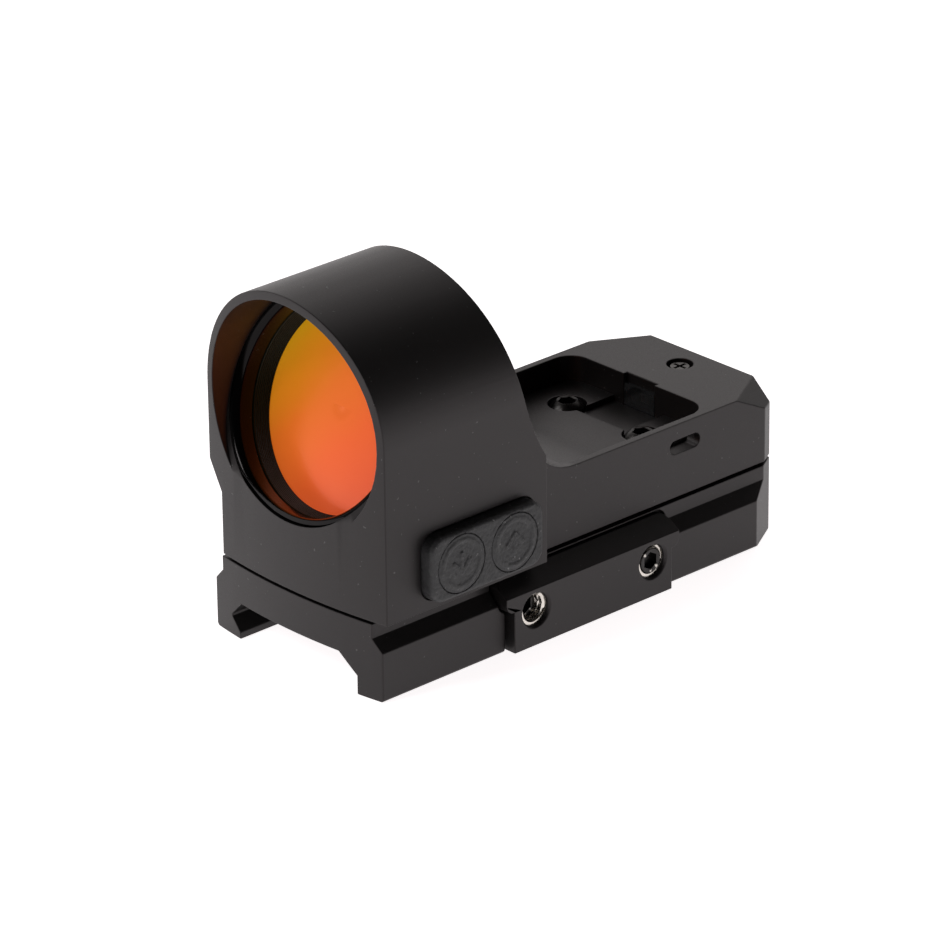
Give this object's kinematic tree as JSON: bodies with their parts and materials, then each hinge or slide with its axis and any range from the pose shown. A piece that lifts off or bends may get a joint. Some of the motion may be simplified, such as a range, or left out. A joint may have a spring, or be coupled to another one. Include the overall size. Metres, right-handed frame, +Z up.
{
  "type": "reflex red dot finder",
  "caption": "Open reflex red dot finder with a round lens hood, an open rear tray, a side button pad and a rail clamp base.",
  "frame": {"origin": "on the base's rail seat face, in the optical centre plane, 2.83 mm ahead of the base's middle", "axes": "+Y towards the eye (the rear), -Y out of the lens hood, +Z up, +X towards the button pad and clamp bar"},
  "size_m": [0.0327, 0.0677, 0.047],
  "materials": {
    "black_anodised": "satin black anodised",
    "dark_spacer": "matt black",
    "coated_glass": "polished, amber mirror coating",
    "window_glass": "polished",
    "steel": "bright",
    "black_steel": "black oxide",
    "adjuster_steel": "dark nickel",
    "cell_steel": "bright nickel plate",
    "rubber": "matt, fine grain",
    "gold_spring": "gold plate",
    "brass": "machined",
    "board": "solder mask",
    "chip": "moulded",
    "flex": "polyimide film",
    "switch_cap": "metal dome under film",
    "led": "clear resin"
  },
  "bodies": {
    "sight_body": {"housing": "black_anodised", "lens": "coated_glass", "lens_retaining_ring": "black_anodised", "lens_spacer": "dark_spacer", "rail_base": "black_anodised", "mounting_screws": "black_steel", "locating_pins": "steel", "coin_battery": "cell_steel", "battery_seal": "rubber", "battery_spring": "gold_spring", "battery_side_contact": "gold_spring", "main_board": "board", "board_components": "chip", "button_flex": "flex", "emitter_flex": "flex", "button_pad": "rubber", "switch_board": "board", "tact_switches": "switch_cap", "windage_rods": "steel", "windage_spring": "steel", "emitter_window": "window_glass", "adjuster_cover": "black_anodised", "cover_screws": "steel"},
    "clamp": {"clamp_bar": "black_anodised"},
    "front_screw": {"front_cross_screw": "black_steel"},
    "rear_screw": {"rear_cross_screw": "black_steel"},
    "up_key": {"up_button": "rubber"},
    "down_key": {"down_button": "rubber"},
    "windage_adjuster": {"windage_screw": "adjuster_steel", "windage_clip": "steel"},
    "windage_stage": {"windage_carriage": "brass", "elevation_pins": "steel", "elevation_spring": "steel"},
    "elevation_adjuster": {"elevation_screw": "adjuster_steel", "elevation_clip": "steel"},
    "emitter": {"emitter_block": "brass", "emitter_board": "board", "emitter_led": "led"}
  },
  "joints": [
    {"name": "front_cross_turn", "type": "hinge", "parent": "sight_body", "child": "front_screw", "pos_m": [0, -0.00645, -0.00005], "axis": [-1, 0, 0], "range_deg": [0, 723]},
    {"name": "rear_cross_turn", "type": "hinge", "parent": "sight_body", "child": "rear_screw", "pos_m": [0, 0.01275, -0.00005], "axis": [-1, 0, 0], "range_deg": [0, 723]},
    {"name": "clamp_slide", "type": "slide", "parent": "sight_body", "child": "clamp", "axis": [1, 0, 0], "range_m": [0, 0.0014]},
    {"name": "up_press", "type": "slide", "parent": "sight_body", "child": "up_key", "axis": [-1, 0, 0], "range_m": [0, 0.00035], "stiffness_N_per_m": 600},
    {"name": "down_press", "type": "slide", "parent": "sight_body", "child": "down_key", "axis": [-1, 0, 0], "range_m": [0, 0.00035], "stiffness_N_per_m": 600},
    {"name": "windage_turn", "type": "hinge", "parent": "sight_body", "child": "windage_adjuster", "pos_m": [0, 0.0306, 0.0076], "axis": [1, 0, 0], "range_deg": [-407, 407]},
    {"name": "windage_slide", "type": "slide", "parent": "sight_body", "child": "windage_stage", "axis": [1, 0, 0], "range_m": [-0.00039, 0.00039], "deforming": ["windage_spring"]},
    {"name": "elevation_turn", "type": "hinge", "parent": "windage_stage", "child": "elevation_adjuster", "pos_m": [0, 0.0329, 0.009], "axis": [0, 0, 1], "range_deg": [-407, 407]},
    {"name": "elevation_slide", "type": "slide", "parent": "windage_stage", "child": "emitter", "axis": [0, 0, 1], "range_m": [-0.00039, 0.00039], "deforming": ["elevation_spring"]}
  ],
  "couplings": [
    {"joint": "front_cross_turn", "follows": "clamp_slide", "rad_per_m": 8976},
    {"joint": "rear_cross_turn", "follows": "clamp_slide", "rad_per_m": 8976},
    {"joint": "windage_turn", "follows": "windage_slide", "rad_per_m": -17952},
    {"joint": "elevation_turn", "follows": "elevation_slide", "rad_per_m": -17952}
  ]
}
